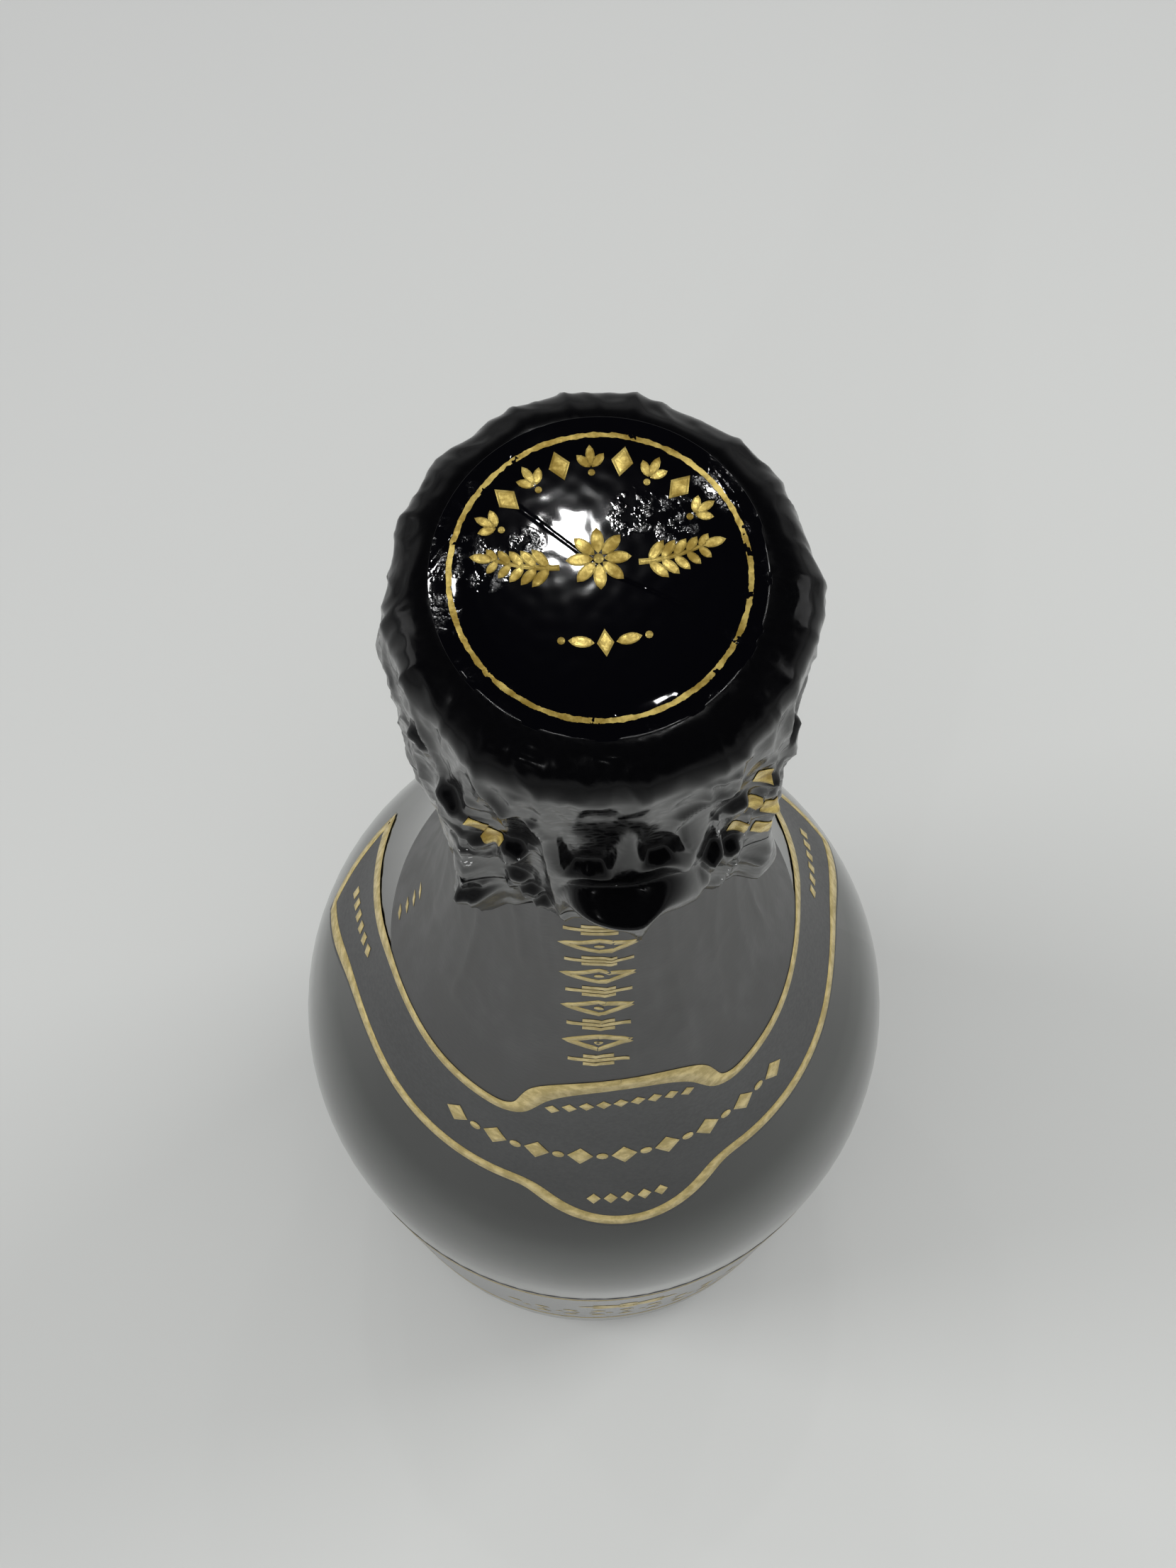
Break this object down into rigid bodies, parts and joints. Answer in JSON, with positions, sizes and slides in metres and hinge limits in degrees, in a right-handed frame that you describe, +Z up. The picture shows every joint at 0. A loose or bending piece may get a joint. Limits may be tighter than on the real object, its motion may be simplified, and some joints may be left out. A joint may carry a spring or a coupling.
{
  "type": "champagne bottle",
  "caption": "Sealed sparkling-wine bottle in dark glass with a deep punt, mushroom cork, wire cage, crumpled black foil over cork and neck, and a shaped collar label.",
  "frame": {"origin": "centre of the base, on the plane that the bottle stands on", "axes": "+Z up along the bottle's axis, -Y toward the labels and the key of the wire cage"},
  "size_m": [0.0888, 0.0892, 0.32],
  "materials": {
    "dark_glass": "gloss",
    "wine": "clear pale gold liquid",
    "cork_grain": "matte agglomerate",
    "cork_natural": "matte natural cork",
    "plaque_lacquer": "gloss lacquer",
    "cage_wire": "galvanised wire",
    "black_foil": "black gloss lacquer",
    "satin_foil": "black satin lacquer",
    "label_paper": "black satin paper with gold borders"
  },
  "bodies": {
    "bottle": {"glass_bottle": "dark_glass", "wine_fill": "wine", "foil_neck_skirt": "satin_foil", "collar_label": "label_paper", "front_label": "label_paper", "back_label": "label_paper"},
    "cork": {"cork_body": "cork_grain", "cork_disc_upper": "cork_natural", "cork_disc_lower": "cork_natural"},
    "muselet": {"muselet_plaque": "plaque_lacquer", "muselet_cage": "cage_wire", "muselet_belt": "cage_wire"},
    "hood": {"foil_hood": "black_foil", "foil_disc": "black_foil", "foil_tear_strip": "black_foil"}
  },
  "joints": [
    {"name": "cork_pull", "type": "slide", "parent": "bottle", "child": "cork", "axis": [0, 0, 1], "range_m": [0, 0.04]},
    {"name": "muselet_lift", "type": "slide", "parent": "cork", "child": "muselet", "axis": [0, 0, 1], "range_m": [0, 0.06], "deforming": ["muselet_cage", "muselet_belt"]},
    {"name": "hood_lift", "type": "slide", "parent": "muselet", "child": "hood", "axis": [0, 0, 1], "range_m": [0, 0.06]}
  ]
}
